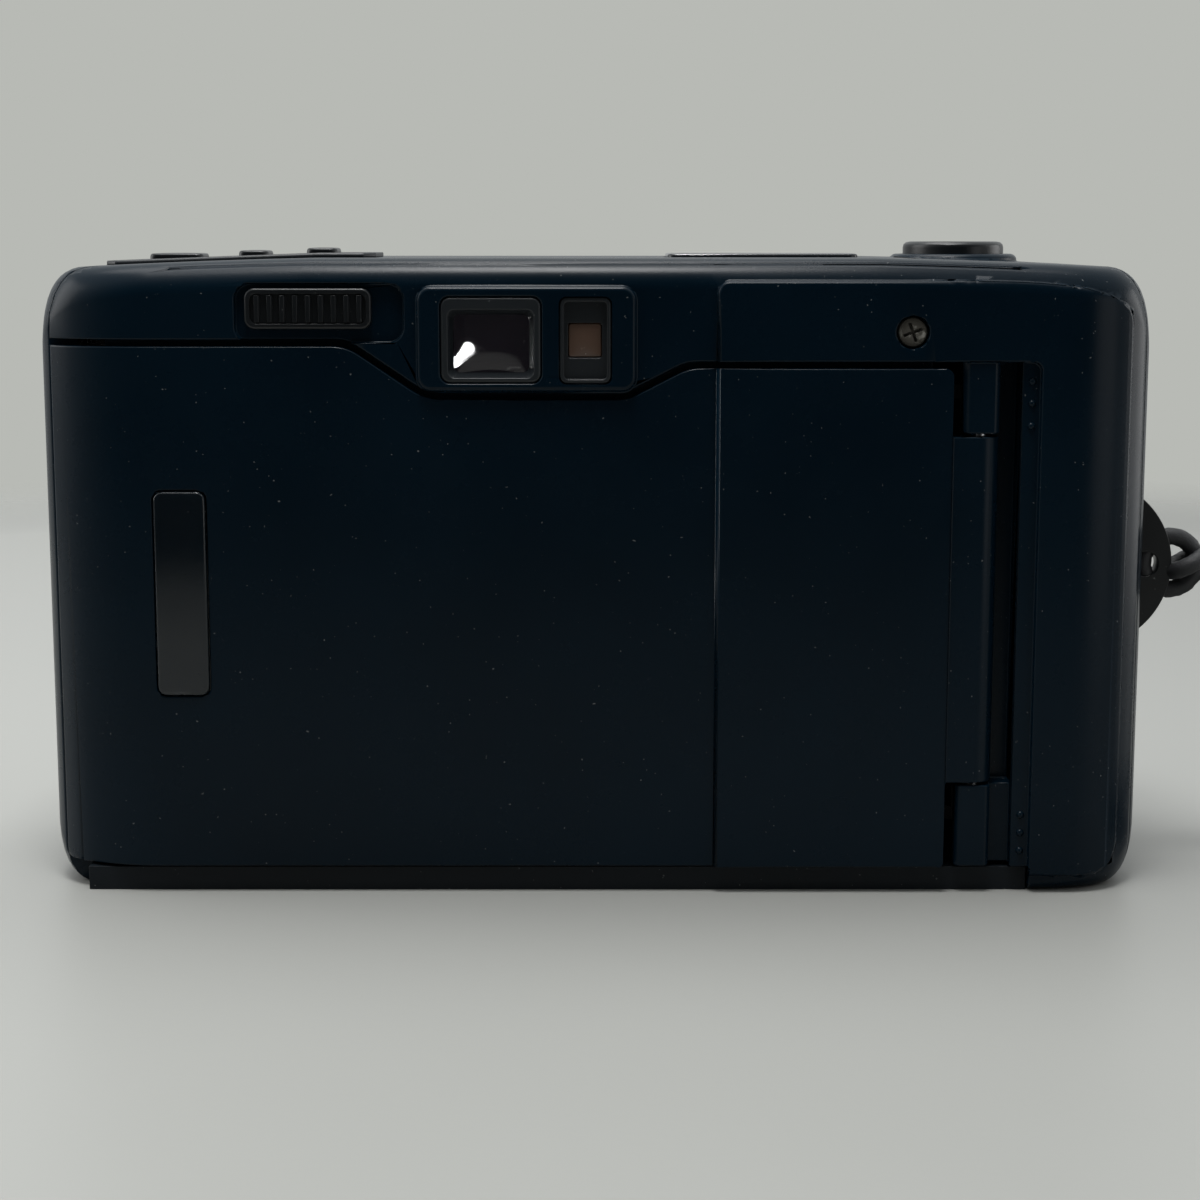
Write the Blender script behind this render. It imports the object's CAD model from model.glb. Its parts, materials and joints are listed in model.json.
"""Compact 35 mm film camera: the visual model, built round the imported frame.

Lengths in the classes are millimetres in the frame of the CAD model: X to the right seen
from behind, Y forward through the lens, Z up from the table.
"""

from __future__ import annotations

import json
import logging
import math
from dataclasses import dataclass, field
from enum import Enum
from typing import Any, Sequence

import bmesh
import bpy
from mathutils import Matrix, Vector

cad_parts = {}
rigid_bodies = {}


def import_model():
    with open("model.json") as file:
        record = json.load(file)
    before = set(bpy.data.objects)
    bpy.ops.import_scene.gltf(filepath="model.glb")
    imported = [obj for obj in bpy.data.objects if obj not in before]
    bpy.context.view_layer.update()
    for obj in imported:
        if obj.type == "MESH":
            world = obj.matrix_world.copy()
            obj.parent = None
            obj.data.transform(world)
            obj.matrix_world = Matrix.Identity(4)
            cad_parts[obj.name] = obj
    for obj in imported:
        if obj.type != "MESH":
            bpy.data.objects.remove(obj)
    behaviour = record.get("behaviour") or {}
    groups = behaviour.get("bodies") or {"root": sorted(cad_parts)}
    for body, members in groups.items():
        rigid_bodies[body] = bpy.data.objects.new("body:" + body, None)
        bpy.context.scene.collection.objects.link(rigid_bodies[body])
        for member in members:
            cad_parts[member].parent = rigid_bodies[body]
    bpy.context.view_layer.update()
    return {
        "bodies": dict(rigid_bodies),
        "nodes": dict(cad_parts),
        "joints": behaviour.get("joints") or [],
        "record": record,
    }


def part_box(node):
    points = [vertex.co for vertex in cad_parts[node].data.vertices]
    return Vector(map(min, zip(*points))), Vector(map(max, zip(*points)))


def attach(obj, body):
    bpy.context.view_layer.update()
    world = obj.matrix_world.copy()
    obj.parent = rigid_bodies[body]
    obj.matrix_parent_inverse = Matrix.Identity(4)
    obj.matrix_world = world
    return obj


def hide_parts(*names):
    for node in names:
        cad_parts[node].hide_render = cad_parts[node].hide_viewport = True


LOG = logging.getLogger("camera")
MM = 0.001
NODE_EDGE = 0.12
NORMAL_WEIGHT = 80
RIM = -13.0

Point2 = tuple[float, float]
Point3 = tuple[float, float, float]
Colour = tuple[float, float, float]


# --- Shader expressions -------------------------------------------------------------------


class Signal:
    """A node socket that takes part in Python arithmetic by adding Math nodes."""

    def __init__(self, graph: "Graph", socket: bpy.types.NodeSocket) -> None:
        """Wrap an output socket.

        Args:
            graph: The node graph that the socket belongs to.
            socket: The output socket.
        """
        self.graph = graph
        self.socket = socket

    def _math(self, operation: str, *values: Any) -> "Signal":
        """Add a Math node on the given values.

        Args:
            operation: The Math node's operation.
            values: Numbers or signals for its inputs.

        Returns:
            The node's output.
        """
        return self.graph.node("ShaderNodeMath", {"operation": operation}, list(values))

    def __add__(self, other: Any) -> "Signal":
        """Return self + other."""
        return self._math("ADD", self, other)

    def __radd__(self, other: Any) -> "Signal":
        """Return other + self."""
        return self._math("ADD", other, self)

    def __sub__(self, other: Any) -> "Signal":
        """Return self - other."""
        return self._math("SUBTRACT", self, other)

    def __rsub__(self, other: Any) -> "Signal":
        """Return other - self."""
        return self._math("SUBTRACT", other, self)

    def __mul__(self, other: Any) -> "Signal":
        """Return self * other."""
        return self._math("MULTIPLY", self, other)

    def __pow__(self, other: Any) -> "Signal":
        """Return self ** other."""
        return self._math("POWER", self, other)

    def above(self, level: float, soft: float = 0.02) -> "Signal":
        """Return a mask that rises from 0 to 1 about a level.

        Args:
            level: The value at which the mask is a half.
            soft: Half the width of the rise.

        Returns:
            The mask.
        """
        values = [self, level - soft, level + soft, 0.0, 1.0]
        return self.graph.node("ShaderNodeMapRange", {"clamp": True}, values)


class Graph:
    """The node graph of a material or a world, with one shader at its end."""

    def __init__(
        self,
        owner: bpy.types.Material | bpy.types.World,
        shader: str = "ShaderNodeBsdfPrincipled",
        output: str = "ShaderNodeOutputMaterial",
    ) -> None:
        """Empty a node tree and give it a shader and an output.

        Args:
            owner: The material or world to build in.
            shader: The type of the shader at the end.
            output: The type of the output.
        """
        owner.use_nodes = True
        self.tree = owner.node_tree
        self.tree.nodes.clear()
        self.output = self.tree.nodes.new(output)
        self.shader = self.tree.nodes.new(shader)
        self.tree.links.new(self.shader.outputs[0], self.output.inputs["Surface"])

    def put(self, socket: bpy.types.NodeSocket, value: Any) -> None:
        """Set or link an input socket.

        Args:
            socket: The input socket.
            value: A number, colour, vector or signal.
        """
        if isinstance(value, Signal):
            self.tree.links.new(value.socket, socket)
        elif isinstance(value, (tuple, list)) and socket.type == "RGBA" and len(value) == 3:
            socket.default_value = (*value, 1.0)
        else:
            socket.default_value = value

    def node(
        self,
        kind: str,
        settings: dict[str, Any] | None = None,
        values: Sequence[Any] | dict[Any, Any] = (),
        output: int | str = 0,
    ) -> Signal:
        """Add a node.

        Args:
            kind: The node's type name.
            settings: Properties that are set first.
            values: Socket values or signals, in order or by name or index.
            output: The output wanted.

        Returns:
            That output as a signal.
        """
        made = self.tree.nodes.new(kind)
        for key, value in (settings or {}).items():
            setattr(made, key, value)
        pairs = values.items() if isinstance(values, dict) else enumerate(values)
        for key, value in pairs:
            self.put(made.inputs[key], value)
        return Signal(self, made.outputs[output])

    def place(self) -> Signal:
        """Return the point on the surface in the object's own frame."""
        return self.node("ShaderNodeTexCoord", output="Object")

    def noise(self, scale: float, detail: float = 3.0, roughness: float = 0.5) -> Signal:
        """Return noise over the object's frame.

        Args:
            scale: Cells per metre.
            detail: Octaves.
            roughness: Strength of the finer octaves.

        Returns:
            A value about 0.5.
        """
        values = {"Vector": self.place(), "Scale": scale, "Detail": detail, "Roughness": roughness}
        return self.node("ShaderNodeTexNoise", {}, values)

    def blend(self, factor: Any, first: Any, second: Any) -> Signal:
        """Mix two colours.

        Args:
            factor: 0 for the first, 1 for the second.
            first: A colour or signal.
            second: A colour or signal.

        Returns:
            The mixed colour.
        """
        return self.node("ShaderNodeMix", {"data_type": "RGBA"}, {0: factor, 6: first, 7: second}, 2)

    def bump(self, height: Signal, distance: float) -> None:
        """Feed a height to the shader's normal.

        Args:
            height: The height, 0 to 1.
            distance: What a height of 1 stands for, in metres.
        """
        values = {"Strength": 1.0, "Distance": distance, "Height": height}
        self.feed("Normal", self.node("ShaderNodeBump", {}, values))

    def feed(self, name: str, value: Any) -> None:
        """Set or link one of the Principled shader's inputs."""
        self.put(self.shader.inputs[name], value)


# --- Finishes -------------------------------------------------------------------------------


@dataclass(frozen=True)
class Finish:
    """A surface finish that makes its material once.

    Attributes:
        name: The material's name.
        slot: The record's material slot.
    """

    name: str
    slot: str

    def material(self) -> bpy.types.Material:
        """Return the finish's material, made on first use."""
        found = bpy.data.materials.get(self.name)
        if found is None:
            found = bpy.data.materials.new(self.name)
            self.paint(Graph(found))
        return found

    def paint(self, graph: Graph) -> None:
        """Build the finish in an empty graph."""
        raise NotImplementedError


@dataclass(frozen=True)
class MouldedPlastic(Finish):
    """Injection-moulded plastic with a fine texture, handling marks and a little dust.

    Attributes:
        colour: The plastic's colour.
        roughness: The mean roughness.
        specular: The specular level.
        grain: Depth of the moulded texture in metres.
        grain_scale: Cells per metre of the moulded texture.
        dust: Share of the surface that holds dust specks.
        smear: How far handling changes the roughness.
    """

    colour: Colour = (0.0004, 0.0046, 0.0092)
    roughness: float = 0.27
    specular: float = 0.13
    grain: float = 0.000004
    grain_scale: float = 5200.0
    dust: float = 0.012
    smear: float = 0.10

    def paint(self, graph: Graph) -> None:
        """Build the plastic."""
        cloud = graph.noise(38.0, 4.0)
        streak = graph.noise(260.0, 5.0, 0.65)
        grain = graph.noise(self.grain_scale, 2.0)
        speck = graph.noise(2600.0, 1.0).above(0.80 - self.dust, 0.015)
        pale = tuple(min(1.0, c * 2.1 + 0.001) for c in self.colour)
        body = graph.blend(cloud.above(0.5, 0.25) * 0.45, self.colour, pale)
        graph.feed("Base Color", graph.blend(speck * 0.30, body, (0.30, 0.31, 0.31)))
        rough = self.roughness + (cloud - 0.5) * self.smear + (streak - 0.5) * self.smear * 0.7
        graph.feed("Roughness", rough + speck * 0.25)
        graph.feed("Specular IOR Level", self.specular)
        graph.bump(grain + speck * 1.5, self.grain)


@dataclass(frozen=True)
class ClearGlass(Finish):
    """Tinted clear moulding or coated glass.

    Attributes:
        tint: Colour of the light that passes.
        roughness: Surface roughness.
        alpha: How much of the surface covers what is behind it.
    """

    tint: Colour = (0.05, 0.06, 0.07)
    roughness: float = 0.04
    alpha: float = 0.45

    def paint(self, graph: Graph) -> None:
        """Build the glass."""
        haze = graph.noise(420.0, 5.0, 0.6)
        dust = graph.noise(3000.0, 1.0).above(0.79, 0.015)
        graph.feed("Base Color", graph.blend(dust * 0.5, self.tint, (0.4, 0.41, 0.4)))
        graph.feed("Roughness", self.roughness + haze.above(0.62, 0.1) * 0.08 + dust * 0.3)
        graph.feed("Alpha", self.alpha + dust * 0.4)
        graph.feed("IOR", 1.5)
        graph.bump(haze, 0.000003)


@dataclass(frozen=True)
class Metal(Finish):
    """Machined, drawn or plated metal.

    Attributes:
        colour: The metal's colour.
        roughness: The mean roughness.
        stain: How much dirt or oxide is in its hollows.
        stain_colour: The colour of that dirt.
    """

    colour: Colour = (0.56, 0.57, 0.58)
    roughness: float = 0.3
    stain: float = 0.15
    stain_colour: Colour = (0.06, 0.055, 0.045)

    def paint(self, graph: Graph) -> None:
        """Build the metal."""
        values = {"Vector": graph.place(), "Scale": (700.0, 700.0, 9000.0)}
        stretched = graph.node("ShaderNodeMapping", {}, values)
        brush = graph.node("ShaderNodeTexNoise", {}, {"Vector": stretched, "Scale": 1.0, "Detail": 2.0})
        blot = graph.noise(900.0, 5.0, 0.7)
        mask = blot.above(0.62 - self.stain * 0.4, 0.06) * min(1.0, self.stain * 3.0)
        graph.feed("Base Color", graph.blend(mask, self.colour, self.stain_colour))
        graph.feed("Metallic", 1.0 - mask * 0.8)
        graph.feed("Roughness", self.roughness + (brush - 0.5) * 0.2 + mask * 0.3)
        graph.bump(brush + blot * 0.5, 0.000004)


@dataclass(frozen=True)
class Braid(Finish):
    """Braided polyester cord.

    Attributes:
        colour: The yarn's colour.
    """

    colour: Colour = (0.010, 0.011, 0.013)

    def paint(self, graph: Graph) -> None:
        """Build the braid's yarn."""
        yarn = graph.noise(5200.0, 3.0, 0.6)
        worn = graph.noise(300.0, 4.0)
        pale = (0.022, 0.023, 0.026)
        graph.feed("Base Color", graph.blend(yarn.above(0.56, 0.12) * worn, self.colour, pale))
        graph.feed("Roughness", 0.62 + (yarn - 0.5) * 0.3)
        graph.feed("Sheen Weight", 0.05)
        graph.bump(yarn, 0.00005)


@dataclass(frozen=True)
class Foam(Finish):
    """Closed-cell foam or rubber.

    Attributes:
        colour: Its colour.
    """

    colour: Colour = (0.012, 0.012, 0.012)

    def paint(self, graph: Graph) -> None:
        """Build the foam."""
        values = {"Vector": graph.place(), "Scale": 2600.0}
        cell = graph.node("ShaderNodeTexVoronoi", {}, values)
        graph.feed("Base Color", graph.blend(cell, self.colour, (0.04, 0.04, 0.04)))
        graph.feed("Roughness", 0.9 - cell * 0.15)
        graph.bump(cell, 0.00008)


@dataclass(frozen=True)
class Laminate(Finish):
    """Circuit board with a soldermask, its tracks showing faintly.

    Attributes:
        colour: The mask's colour.
    """

    colour: Colour = (0.015, 0.09, 0.045)

    def paint(self, graph: Graph) -> None:
        """Build the board."""
        values = {"Vector": graph.place(), "Scale": 620.0}
        cell = graph.node("ShaderNodeTexVoronoi", {"distance": "MANHATTAN"}, values)
        track = cell.above(0.42, 0.03)
        cloud = graph.noise(180.0)
        graph.feed("Base Color", graph.blend(track * 0.5, self.colour, (0.06, 0.22, 0.10)))
        graph.feed("Roughness", 0.32 + cloud * 0.15)
        graph.bump(track, 0.00003)


@dataclass(frozen=True)
class Sleeve(Finish):
    """Printed shrink sleeve in two plain bands along one axis.

    Attributes:
        first: Colour below the band's edge.
        second: Colour above it.
        axis: The axis that the bands follow, 0, 1 or 2.
        edge: Where the colour changes, in metres.
    """

    first: Colour = (0.02, 0.04, 0.10)
    second: Colour = (0.45, 0.33, 0.12)
    axis: int = 2
    edge: float = 0.026

    def paint(self, graph: Graph) -> None:
        """Build the sleeve."""
        along = graph.node("ShaderNodeSeparateXYZ", {}, [graph.place()], self.axis)
        wrinkle = graph.noise(700.0, 3.0)
        graph.feed("Base Color", graph.blend(along.above(self.edge, 0.0001), self.first, self.second))
        graph.feed("Roughness", 0.3 + wrinkle * 0.15)
        graph.bump(wrinkle, 0.00002)


SHELL = MouldedPlastic("shell_plastic", "shell")
DOOR = MouldedPlastic("door_plastic", "door", smear=0.13)
BASE = MouldedPlastic("base_plastic", "base", (0.003, 0.005, 0.007), 0.5, 0.2, 0.00002, 2600.0, 0.02)
TRIM = MouldedPlastic("trim_plastic", "trim", (0.007, 0.009, 0.011), 0.38, 0.35, 0.000008, 3600.0)
KEY = MouldedPlastic("key_plastic", "button", (0.004, 0.005, 0.006), 0.30, 0.35)
LUG = MouldedPlastic("lug_plastic", "lug", (0.007, 0.008, 0.009), 0.34, 0.35)
CHASSIS = MouldedPlastic("chassis_plastic", "chassis", (0.012, 0.012, 0.013), 0.6, 0.3, 0.00002, 1800.0)
MATT_BLACK = MouldedPlastic("matt_black", "chassis", (0.004, 0.004, 0.005), 0.8, 0.15, 0.00002, 2200.0)
BLADE = Metal("blackened_steel", "blade", (0.030, 0.031, 0.034), 0.42, 0.1)
STEEL = Metal("bright_steel", "steel")
GRUBBY_STEEL = Metal("grubby_steel", "steel", (0.30, 0.29, 0.26), 0.42, 0.55)
BRASS = Metal("plain_brass", "brass", (0.60, 0.42, 0.15), 0.3, 0.2)
MIRROR = Metal("bright_reflector", "reflector", (0.86, 0.87, 0.88), 0.12, 0.02)
WINDOW = ClearGlass("tinted_window", "clear_window", (0.004, 0.007, 0.010), 0.05, 0.90)
CLEAR = ClearGlass("clear_window", "clear_window", (0.35, 0.37, 0.38), 0.05, 0.28)
LENS = ClearGlass("coated_lens", "lens", (0.02, 0.03, 0.06), 0.02, 0.5)
EYE = ClearGlass("eyepiece_glass", "lens", (0.006, 0.005, 0.007), 0.04, 0.85)
AMBER = ClearGlass("lamp_pipe", "lens", (0.10, 0.062, 0.045), 0.2, 0.9)
TUBE = ClearGlass("flash_tube", "lens", (0.7, 0.73, 0.75), 0.05, 0.6)
FOAM = Foam("light_seal_foam", "foam")
BOARD = Laminate("circuit_board", "board")
GEAR = MouldedPlastic("natural_gear", "gear", (0.62, 0.58, 0.48), 0.4, 0.4, 0.00001, 2400.0)
CELL = Sleeve("battery_sleeve", "cell")
CAPACITOR = Sleeve("capacitor_sleeve", "cell", (0.02, 0.03, 0.05), (0.25, 0.27, 0.30), 0, -0.026)
CORD = Braid("strap_braid", "cord")


# --- Mesh work --------------------------------------------------------------------------------


class Axis(Enum):
    """The direction that a prism is drawn out along."""

    Y = 1
    Z = 2


def arc(centre: Point2, radii: Point2, start: float, stop: float, steps: int = 12) -> list[Point2]:
    """Return points on an elliptical arc.

    Args:
        centre: The arc's centre.
        radii: Its two half-axes.
        start: The first angle in degrees.
        stop: The last angle.
        steps: How many steps the arc is made in.

    Returns:
        The points, both ends included.
    """
    points = []
    for step in range(steps + 1):
        angle = math.radians(start + (stop - start) * step / steps)
        points.append((centre[0] + radii[0] * math.cos(angle), centre[1] + radii[1] * math.sin(angle)))
    return points


def rounded_outline(corners: Sequence[tuple[float, float, float]], steps: int = 8) -> list[Point2]:
    """Round the corners of a closed outline.

    Args:
        corners: The corners as x, y and radius.
        steps: Steps in each rounded corner.

    Returns:
        The outline with arcs in place of its corners.
    """
    points: list[Point2] = []
    count = len(corners)
    for index, (x, y, radius) in enumerate(corners):
        here = Vector((x, y))
        back = (Vector(corners[index - 1][:2]) - here).normalized()
        ahead = (Vector(corners[(index + 1) % count][:2]) - here).normalized()
        half = back.angle(ahead) / 2
        if radius <= 0 or abs(half - math.pi / 2) < 1e-4:
            points.append((x, y))
            continue
        reach = radius / math.tan(half)
        centre = here + (back + ahead).normalized() * radius / math.sin(half)
        first = here + back * reach - centre
        last = here + ahead * reach - centre
        sweep = first.angle_signed(last)
        for step in range(steps + 1):
            turned = first.copy()
            turned.rotate(Matrix.Rotation(-sweep * step / steps, 2))
            points.append(tuple(centre + turned))
    return points


def box_outline(centre: Point2, size: Point2, radius: float, steps: int = 6) -> list[Point2]:
    """Return a rounded rectangle's outline.

    Args:
        centre: Its centre.
        size: Its width and height.
        radius: Its corner radius.
        steps: Steps in each corner.

    Returns:
        The outline.
    """
    (x, y), (w, h) = centre, (size[0] / 2, size[1] / 2)
    signs = ((-1, -1), (1, -1), (1, 1), (-1, 1))
    return rounded_outline([(x + across * w, y + up * h, radius) for across, up in signs], steps)


def place_point(point: Point2, level: float, axis: Axis) -> Point3:
    """Lift a point of an outline into space, to a level along the axis across it."""
    if axis is Axis.Y:
        return (point[0], level, point[1])
    return (point[0], point[1], level)


def placed(name: str, data: bpy.types.ID) -> bpy.types.Object:
    """Put a mesh, lamp or camera in the scene."""
    made = bpy.data.objects.new(name, data)
    bpy.context.scene.collection.objects.link(made)
    return made


def smooth(piece: bpy.types.Object) -> bpy.types.Object:
    """Shade a piece smoothly and return it."""
    for polygon in piece.data.polygons:
        polygon.use_smooth = True
    return piece


def mesh_object(name: str, points: Sequence[Point3], faces: Sequence[Sequence[int]]) -> bpy.types.Object:
    """Make an object from points in millimetres, its normals outward.

    Args:
        name: The object's name.
        points: The vertices.
        faces: The faces by vertex index.

    Returns:
        The new object.
    """
    mesh = bpy.data.meshes.new(name)
    mesh.from_pydata([Vector(p) * MM for p in points], [], [tuple(f) for f in faces])
    work = bmesh.new()
    work.from_mesh(mesh)
    bmesh.ops.remove_doubles(work, verts=work.verts, dist=1e-7)
    loose = [edge for edge in work.edges if not edge.link_faces]
    bmesh.ops.delete(work, geom=loose, context="EDGES")
    bmesh.ops.recalc_face_normals(work, faces=work.faces)
    work.to_mesh(mesh)
    work.free()
    return placed(name, mesh)


def lofted(name: str, rings: Sequence[Sequence[Point3]], closed: bool = False) -> bpy.types.Object:
    """Join rings of equal length into a closed skin.

    Args:
        name: The object's name.
        rings: The rings, each a closed loop of points.
        closed: Whether the last ring joins the first; if not, both ends are capped.

    Returns:
        The new object.
    """
    size = len(rings[0])
    points = [point for ring in rings for point in ring]
    faces = []
    spans = len(rings) if closed else len(rings) - 1
    for row in range(spans):
        after = (row + 1) % len(rings)
        for column in range(size):
            beside = (column + 1) % size
            faces.append(
                (row * size + column, row * size + beside, after * size + beside, after * size + column)
            )
    if not closed:
        faces.append(tuple(range(size)))
        faces.append(tuple((len(rings) - 1) * size + column for column in range(size)))
    return mesh_object(name, points, faces)


def prism(name: str, outline: Sequence[Point2], low: float, high: float, axis: Axis) -> bpy.types.Object:
    """Draw an outline out along an axis."""
    rings = [[place_point(p, level, axis) for p in outline] for level in (low, high)]
    return lofted(name, rings)


def lathe(
    name: str, profile: Sequence[Point2], centre: Point2, axis: Axis, steps: int = 96
) -> bpy.types.Object:
    """Turn a closed profile about a line parallel to an axis.

    Args:
        name: The object's name.
        profile: Points of radius and place along the axis.
        centre: Where the line crosses the plane of the other two axes.
        axis: The axis.
        steps: Steps round the turn.

    Returns:
        The new object.
    """
    rings = []
    for step in range(steps):
        turn = 2 * math.pi * step / steps
        c, s = math.cos(turn), math.sin(turn)
        rings.append([place_point((centre[0] + r * c, centre[1] + r * s), level, axis)
                      for r, level in profile])
    return lofted(name, rings, closed=True)


def block(name: str, low: Point3, high: Point3) -> bpy.types.Object:
    """Return a box from its lowest to its highest corner."""
    outline = [(low[0], low[1]), (high[0], low[1]), (high[0], high[1]), (low[0], high[1])]
    return prism(name, outline, low[2], high[2], Axis.Z)


def bake_modifiers(piece: bpy.types.Object) -> None:
    """Replace a piece's mesh with its evaluated mesh."""
    graph = bpy.context.evaluated_depsgraph_get()
    mesh = bpy.data.meshes.new_from_object(piece.evaluated_get(graph))
    piece.modifiers.clear()
    piece.data = mesh


def combine(piece: bpy.types.Object, others: Sequence[bpy.types.Object], operation: str) -> None:
    """Cut or join other solids with a piece, and delete them.

    Args:
        piece: The piece that is changed.
        others: The solids that are used up.
        operation: DIFFERENCE, UNION or INTERSECT.
    """
    for other in others:
        step = piece.modifiers.new(operation, "BOOLEAN")
        step.operation = operation
        step.solver = "EXACT"
        step.object = other
        bake_modifiers(piece)
        bpy.data.objects.remove(other)


def cut(piece: bpy.types.Object, *others: bpy.types.Object) -> None:
    """Cut solids out of a piece."""
    combine(piece, others, "DIFFERENCE")


def join(piece: bpy.types.Object, *others: bpy.types.Object) -> None:
    """Join solids to a piece."""
    combine(piece, others, "UNION")


def gather(name: str, pieces: Sequence[bpy.types.Object]) -> bpy.types.Object:
    """Put separate solids into one piece.

    Args:
        name: The new piece's name.
        pieces: The solids, which are used up.

    Returns:
        The new piece.
    """
    work = bmesh.new()
    for piece in pieces:
        work.from_mesh(piece.data)
        bpy.data.objects.remove(piece)
    mesh = bpy.data.meshes.new(name)
    work.to_mesh(mesh)
    work.free()
    return smooth(placed(name, mesh))


def copied(piece: bpy.types.Object, name: str) -> bpy.types.Object:
    """Return a copy of a piece with a mesh of its own."""
    return placed(name, piece.data.copy())


def bevelled(piece: bpy.types.Object, width: float, segments: int, angle: float) -> bpy.types.Modifier:
    """Add a Bevel modifier to the edges sharper than an angle and return it."""
    edge = piece.modifiers.new("edge", "BEVEL")
    edge.width = width * MM
    edge.segments = segments
    edge.limit_method = "ANGLE"
    edge.angle_limit = math.radians(angle)
    return edge


def soften(piece: bpy.types.Object, width: float, segments: int = 2, angle: float = 32.0) -> None:
    """Round a piece's edges and shade it smoothly.

    Args:
        piece: The piece.
        width: Width of the rounding in millimetres.
        segments: Segments across the rounding.
        angle: Edges sharper than this, in degrees, are rounded.
    """
    weld = piece.modifiers.new("weld", "WELD")
    weld.merge_threshold = 0.002 * MM
    flat = piece.modifiers.new("flat", "DECIMATE")
    flat.decimate_type = "DISSOLVE"
    flat.angle_limit = math.radians(0.3)
    flat.delimit = {"NORMAL"}
    bevelled(piece, width, segments, angle).use_clamp_overlap = True
    normals = piece.modifiers.new("normals", "WEIGHTED_NORMAL")
    normals.keep_sharp = True
    normals.weight = NORMAL_WEIGHT
    smooth(piece)


def round_over(piece: bpy.types.Object, width: float, segments: int = 3, angle: float = 40.0) -> None:
    """Round a clean piece's edges in its mesh, before it is joined to another.

    Args:
        piece: The piece.
        width: Width of the rounding in millimetres.
        segments: Segments across the rounding.
        angle: Edges sharper than this, in degrees, are rounded.
    """
    bevelled(piece, width, segments, angle).use_clamp_overlap = False
    bake_modifiers(piece)


def painted(piece: bpy.types.Object, finish: Finish) -> bpy.types.Object:
    """Give all of a piece one finish and return it."""
    piece.data.materials.clear()
    piece.data.materials.append(finish.material())
    for polygon in piece.data.polygons:
        polygon.material_index = 0
    return piece


def dressed(
    piece: bpy.types.Object, finish: Finish, body: str, nodes: Sequence[str] = ()
) -> bpy.types.Object:
    """Give a new piece its finish, its body and the CAD nodes that it stands for.

    Args:
        piece: The piece.
        finish: Its finish.
        body: The body that it rides on.
        nodes: CAD nodes that it replaces.

    Returns:
        The piece.
    """
    painted(piece, finish)
    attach(piece, body)
    if nodes:
        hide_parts(*nodes)
    LOG.info("%s rides on %s", piece.name, body)
    return piece


def dress_node(frame: dict[str, Any], node: str, finish: Finish) -> None:
    """Give a CAD node its finish and rounded edges.

    Args:
        frame: The loaded frame.
        node: The node's name.
        finish: Its finish.
    """
    soften(painted(frame["nodes"][node], finish), NODE_EDGE)
    LOG.info("%s dressed", node)


# --- The studio -------------------------------------------------------------------------------


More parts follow.
